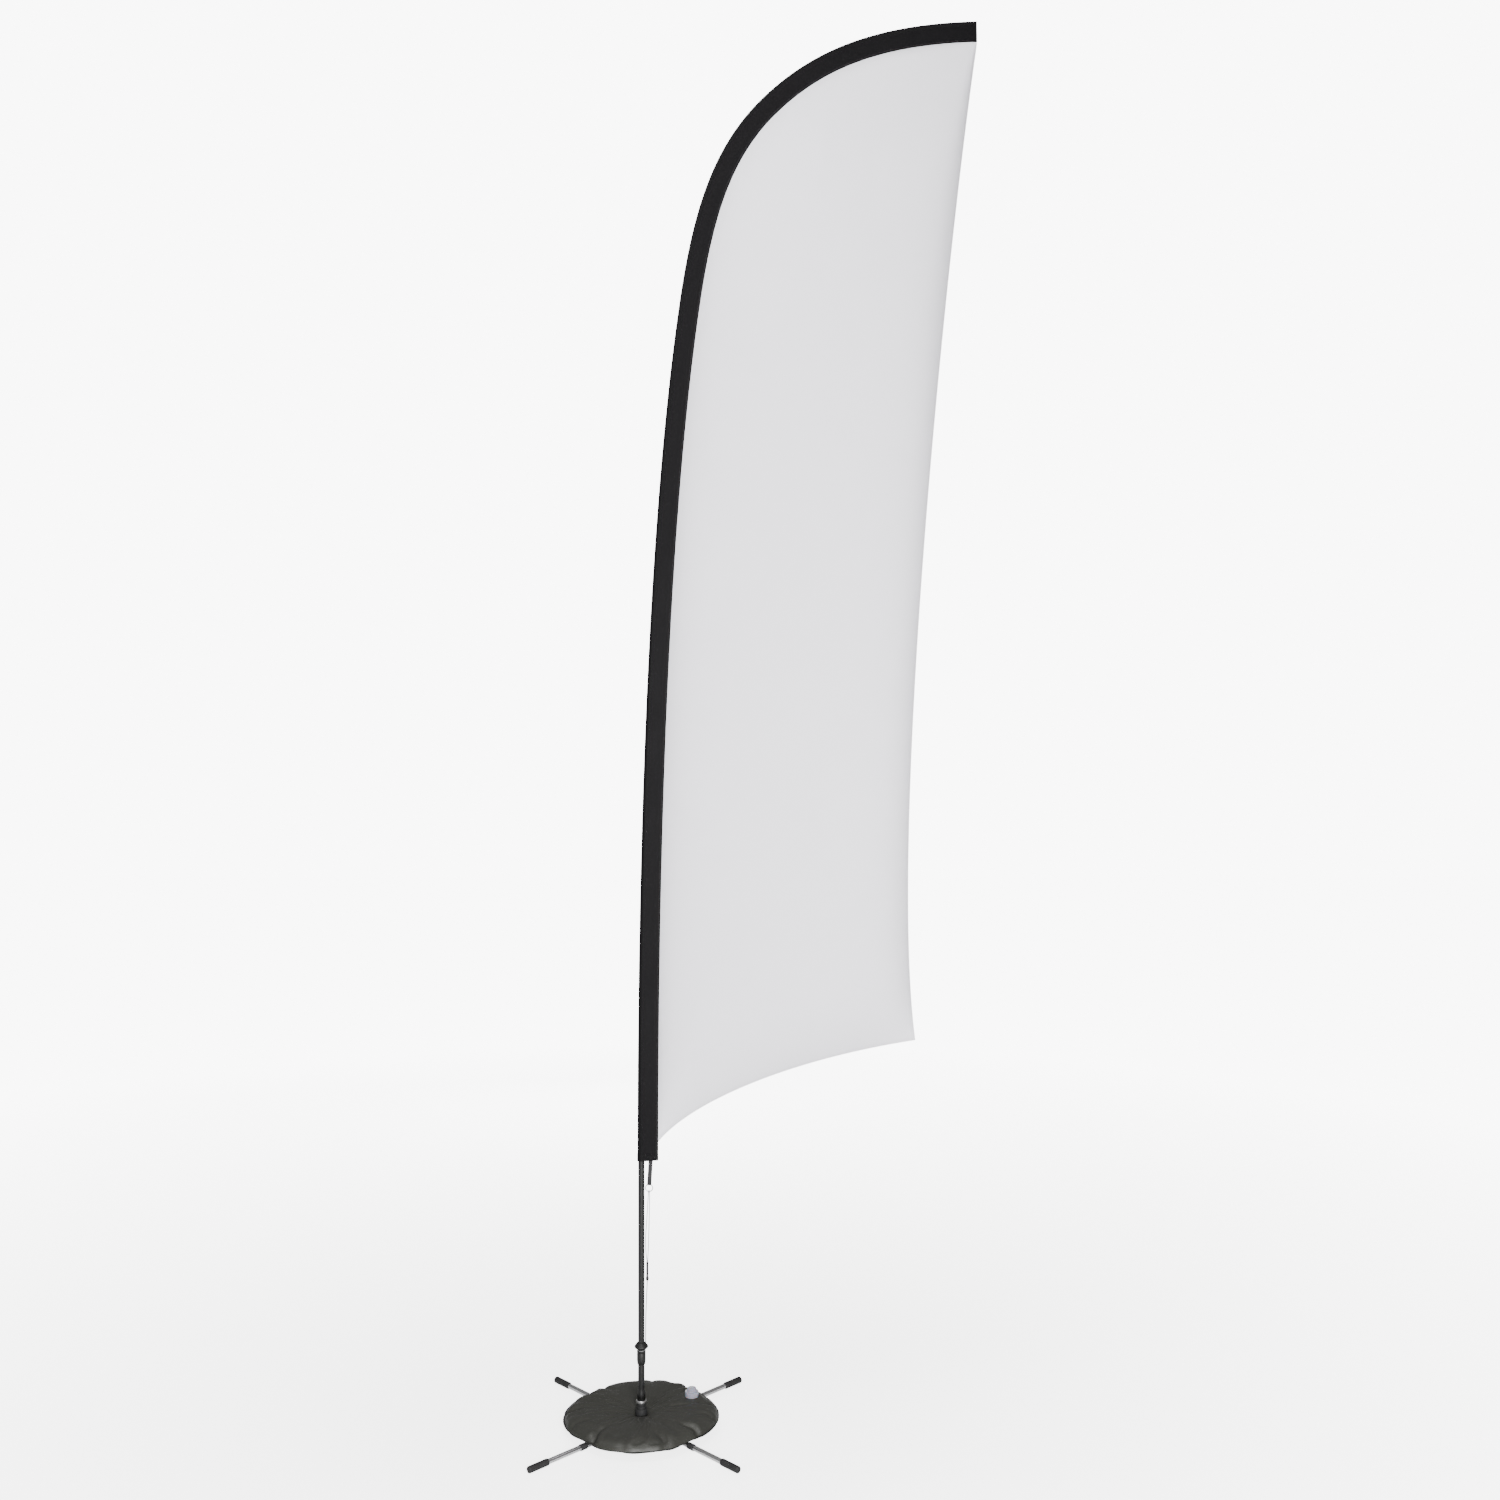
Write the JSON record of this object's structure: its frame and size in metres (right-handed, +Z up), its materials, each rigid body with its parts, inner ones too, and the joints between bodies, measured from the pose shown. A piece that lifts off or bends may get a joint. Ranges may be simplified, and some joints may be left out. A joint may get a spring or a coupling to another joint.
{
  "type": "feather flag with pole",
  "caption": "Curved-pole feather flag that turns on a spindle over a folding cross base with a water bag weight.",
  "frame": {"origin": "on the pole axis at ground level, centre of the hub's flat underside", "axes": "+Z up along the pole; +X from the pole towards the flag's free edge; the flag lies in the XZ plane"},
  "size_m": [1.384, 0.6364, 4.4553],
  "materials": {
    "chrome_tube": "bright plated tube",
    "plated_steel": "zinc plated, satin",
    "black_metal": "black powder coat, satin",
    "black_plastic": "black moulded plastic",
    "black_fibreglass": "black fibreglass rod",
    "black_rubber": "black rubber",
    "grey_nylon": "grey nylon",
    "milky_plastic": "translucent milky plastic",
    "black_cloth": "black satin polyester pole sleeve",
    "white_cloth": "white knitted polyester",
    "olive_cloth": "olive grey coated bag cloth, filled with water",
    "black_webbing": "black webbing",
    "grey_cord": "grey elastic cord",
    "black_cord": "black elastic cord"
  },
  "bodies": {
    "base": {"hub_bolt": "plated_steel", "fold_washer": "grey_nylon", "spacer_bush": "black_rubber", "clamp_washer": "plated_steel", "lower_crossbar": "black_metal", "stem": "black_metal", "lower_bearing_inner_race": "plated_steel", "upper_bearing_inner_race": "plated_steel", "inner_spacer": "plated_steel", "spindle_nut": "plated_steel", "water_bag": "olive_cloth", "valve_neck": "milky_plastic", "leg_front_left": "chrome_tube", "foot_front_left": "black_rubber", "strap_band_front_left": "black_webbing", "leg_rear_right": "chrome_tube", "foot_rear_right": "black_rubber", "strap_band_rear_right": "black_webbing"},
    "swing_legs": {"upper_crossbar": "black_metal", "leg_front_right": "chrome_tube", "foot_front_right": "black_rubber", "strap_band_front_right": "black_webbing", "leg_rear_left": "chrome_tube", "foot_rear_left": "black_rubber", "strap_band_rear_left": "black_webbing"},
    "rotor": {"bearing_housing": "black_plastic", "rest_washer": "grey_nylon", "lower_bearing_outer_race": "plated_steel", "upper_bearing_outer_race": "plated_steel", "lower_bearing_ball_ring": "plated_steel", "upper_bearing_ball_ring": "plated_steel", "outer_spacer": "plated_steel", "bearing_circlip": "plated_steel"},
    "mast": {"pole_collar": "black_plastic", "pole_section_1": "black_metal", "pole_section_2": "black_metal", "pole_section_3": "black_fibreglass", "pole_section_4": "black_fibreglass", "tip_cap": "black_rubber", "flag_sleeve": "black_cloth", "flag_panel": "white_cloth", "flag_strap": "black_webbing", "strap_ring": "plated_steel", "tension_cord_front": "grey_cord", "tension_cord_rear": "grey_cord", "tension_cord_lower": "black_cord", "cord_crimp": "black_plastic"},
    "cap_seal": {"valve_seal": "black_rubber"},
    "cap": {"valve_cap": "milky_plastic"}
  },
  "joints": [
    {"name": "leg_fold", "type": "hinge", "parent": "base", "child": "swing_legs", "pos_m": [0, 0, 0.0105], "axis": [0, 0, 1], "range_deg": [0, 60]},
    {"name": "pole_turn", "type": "hinge", "parent": "base", "child": "rotor", "pos_m": [0, 0, 0.2], "axis": [0, 0, 1], "continuous": true},
    {"name": "mast_lift", "type": "slide", "parent": "rotor", "child": "mast", "axis": [0, 0, 1], "range_m": [0, 0.15]},
    {"name": "cap_lift", "type": "slide", "parent": "base", "child": "cap_seal", "axis": [0, 0, 1], "range_m": [0, 0.01201]},
    {"name": "cap_turn", "type": "hinge", "parent": "cap_seal", "child": "cap", "pos_m": [0.157, 0.075, 0.07], "axis": [0, 0, 1], "range_deg": [0, 1080]}
  ],
  "couplings": [
    {"joint": "cap_lift", "follows": "cap_turn", "m_per_rad": 0.00063662}
  ]
}
